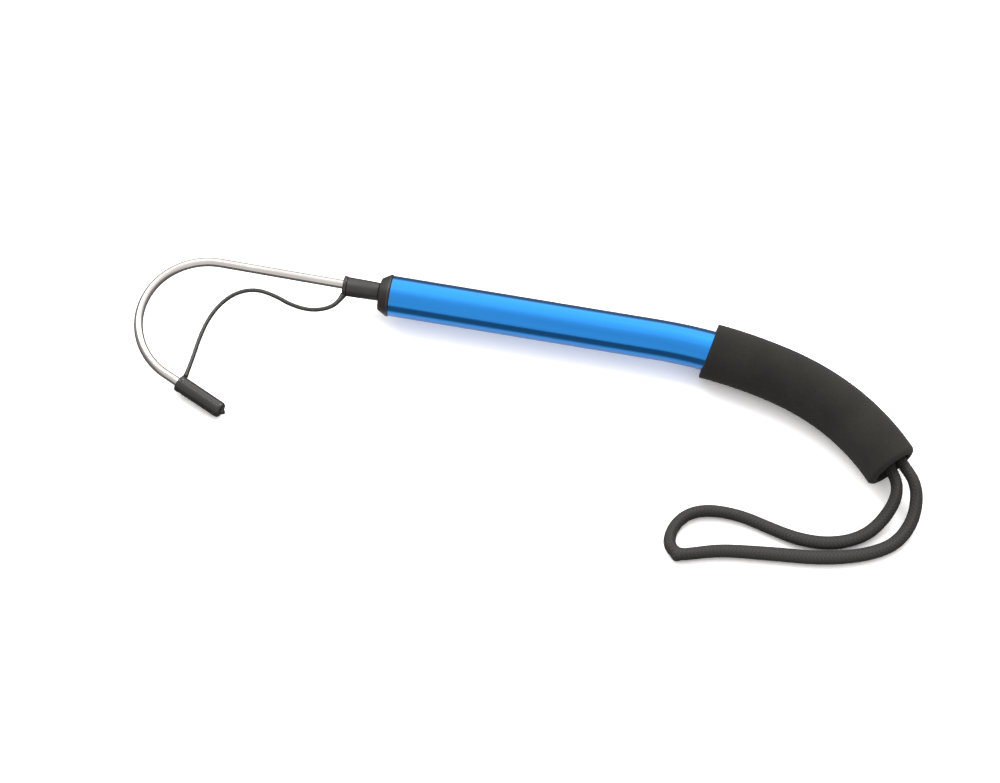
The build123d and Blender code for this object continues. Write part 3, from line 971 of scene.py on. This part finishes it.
def camera():
    """A long lens far away, so that the view is nearly parallel."""
    azimuth, elevation = math.radians(11.1), math.radians(57.5)
    # how wide the view is at the gaff, and how far away the camera is, in metres
    width, distance = 0.545, 8.0
    # the middle of the view, from the tube's mouth
    across, upward = 59.5 * MM, -52.2 * MM
    sensor = 36
    right = Vector((math.cos(azimuth), math.sin(azimuth), 0))
    away = Vector((math.sin(azimuth), -math.cos(azimuth), 0))
    back = away * math.cos(elevation) + Vector((0, 0, math.sin(elevation)))
    up = back.cross(right)
    target = MOUTH + right * across + up * upward
    data = bpy.data.cameras.new("camera")
    data.sensor_width = sensor
    data.lens = sensor * distance / width
    data.clip_end = 50
    data.clip_start = 0.5
    cam = bpy.data.objects.new("camera", data)
    bpy.context.scene.collection.objects.link(cam)
    turned = Matrix((right, up, back)).transposed().to_4x4()
    cam.matrix_world = Matrix.Translation(target + back * distance) @ turned
    bpy.context.scene.camera = cam


def softbox(name, at, size, power, towards=(0.05, 0, 0)):
    """A rectangular lamp of this size in metres and power in watts, aimed at a point."""
    data = bpy.data.lights.new(name, "AREA")
    data.shape = "RECTANGLE"
    data.size, data.size_y = size
    data.energy = power
    light = bpy.data.objects.new(name, data)
    bpy.context.scene.collection.objects.link(light)
    light.location = at
    aim = Vector(towards) - Vector(at)
    light.rotation_euler = aim.to_track_quat("-Z", "Y").to_euler()


def sky():
    """A light tent, brighter over the back.

    Polished metal mirrors a dark band at its horizon, and dark flanks at its two sides.
    """
    world = bpy.data.worlds.new("studio")
    bpy.context.scene.world = world
    world.use_nodes = True
    n = Nodes(world.node_tree)
    direction = n.node("ShaderNodeTexCoord").outputs["Generated"]
    x, y, z = n.node("ShaderNodeSeparateXYZ", {0: direction}).outputs
    glossy = n.node("ShaderNodeLightPath").outputs["Is Glossy Ray"]
    tent = n.swell(y, -0.7, 0.8, 1.05, 2.05)
    lean = n.swell(y, -1.0, 1.0, 0.12, -0.12)
    height = n.math("ADD", z, lean)
    band = n.math("MULTIPLY", glossy, n.swell(height, -0.02, 0.14, 0.75, 0.0))
    sideways = n.math("MULTIPLY", x, x)
    flanks = n.math("MULTIPLY", glossy, n.swell(sideways, 0.25, 0.75, 0.0, 0.7))
    dimmed = n.math("MULTIPLY", tent, n.math("MAXIMUM", band, flanks))
    background = n.tree.nodes["Background"]
    background.inputs["Color"].default_value = (1.0, 0.992, 0.98, 1)
    n.tree.links.new(n.math("SUBTRACT", tent, dimmed), background.inputs["Strength"])


def lights():
    """The tent, two soft boxes behind the handle and a small one for the hook's highlight."""
    sky()
    softbox("back_left", (-1.0, 0.5, 1.1), (0.7, 0.7), 6)
    softbox("back_right", (0.5, 1.0, 1.2), (0.6, 0.5), 10)
    softbox("streak", (-0.45, 0.32, 1.18), (0.18, 0.18), 1.6, (-0.17, -0.04, 0.01))
    bpy.context.scene.view_settings.view_transform = "Standard"


dress_cad()
outer_tube()
front_collar()
inner_tube()
hook_socket()
strap_ring()
foam_grip()
hook()
tip_guard()
tip_strap()
lanyard()
floor()
camera()
lights()
